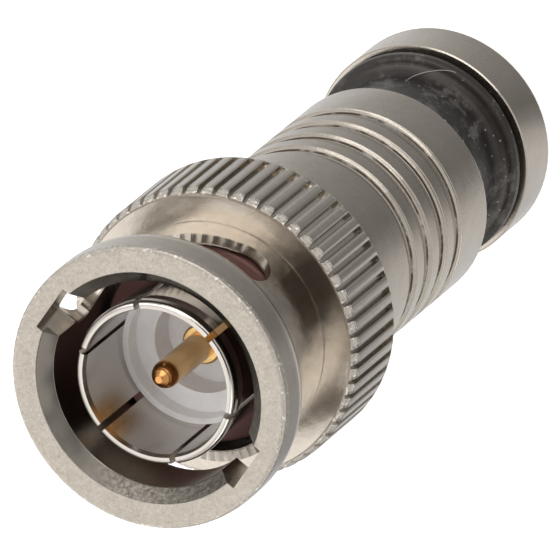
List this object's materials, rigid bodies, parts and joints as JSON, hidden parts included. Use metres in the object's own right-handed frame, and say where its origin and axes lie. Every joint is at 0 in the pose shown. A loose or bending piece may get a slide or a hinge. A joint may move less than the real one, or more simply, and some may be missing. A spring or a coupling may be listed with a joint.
{
  "type": "coaxial bayonet plug",
  "caption": "Compression-type bayonet coaxial plug: knurled turning sleeve with cam slots, spring-finger contact, gold centre pin, grooved barrel and a ferrule pressed in to grip the cable.",
  "frame": {"origin": "on the plug's axis, in the plane of the compression cap's rear face that it stands on", "axes": "+Z along the plug's axis towards the mating face; +X towards the side seen in the picture"},
  "size_m": [0.0144, 0.0144, 0.0358],
  "materials": {
    "sleeve_nickel": "satin",
    "contact_nickel": "satin",
    "barrel_nickel": "satin",
    "cap_nickel": "satin",
    "body_nickel": "satin",
    "post_nickel": "satin",
    "ring_brass": "satin",
    "pin_gold": "polished",
    "clip_gold": "satin",
    "insulator_white": "satin",
    "bead_white": "satin",
    "gasket_red": "matte",
    "seal_rubber": "matte",
    "cable_seal_rubber": "matte",
    "ferrule_black": "satin",
    "washer_steel": "satin",
    "spring_steel": "satin"
  },
  "bodies": {
    "plug": {"outer_contact": "contact_nickel", "front_insulator": "insulator_white", "centre_pin": "pin_gold", "pin_clip": "clip_gold", "rear_insulator": "bead_white", "insulator_ring": "ring_brass", "face_gasket": "gasket_red", "plug_body": "body_nickel", "retaining_ring": "spring_steel", "front_washer": "washer_steel", "wave_washer_front": "spring_steel", "wave_washer_rear": "spring_steel", "body_seal": "seal_rubber", "inner_post": "post_nickel", "post_seal": "seal_rubber", "barrel": "barrel_nickel"},
    "coupling_carrier": {"rear_washer": "washer_steel"},
    "coupling": {"coupling_sleeve": "sleeve_nickel"},
    "compression": {"compression_ferrule": "ferrule_black", "compression_cap": "cap_nickel", "cable_seal": "cable_seal_rubber"}
  },
  "joints": [
    {"name": "coupling_slide", "type": "slide", "parent": "plug", "child": "coupling_carrier", "axis": [0, 0, 1], "range_m": [0, 0.0008], "stiffness_N_per_m": 5000, "springref_m": -0.002, "deforming": ["wave_washer_front", "wave_washer_rear"]},
    {"name": "coupling_turn", "type": "hinge", "parent": "coupling_carrier", "child": "coupling", "pos_m": [0, 0, 0.0241], "axis": [0, 0, 1], "continuous": true},
    {"name": "compress", "type": "slide", "parent": "plug", "child": "compression", "axis": [0, 0, 1], "range_m": [0, 0.004]}
  ]
}
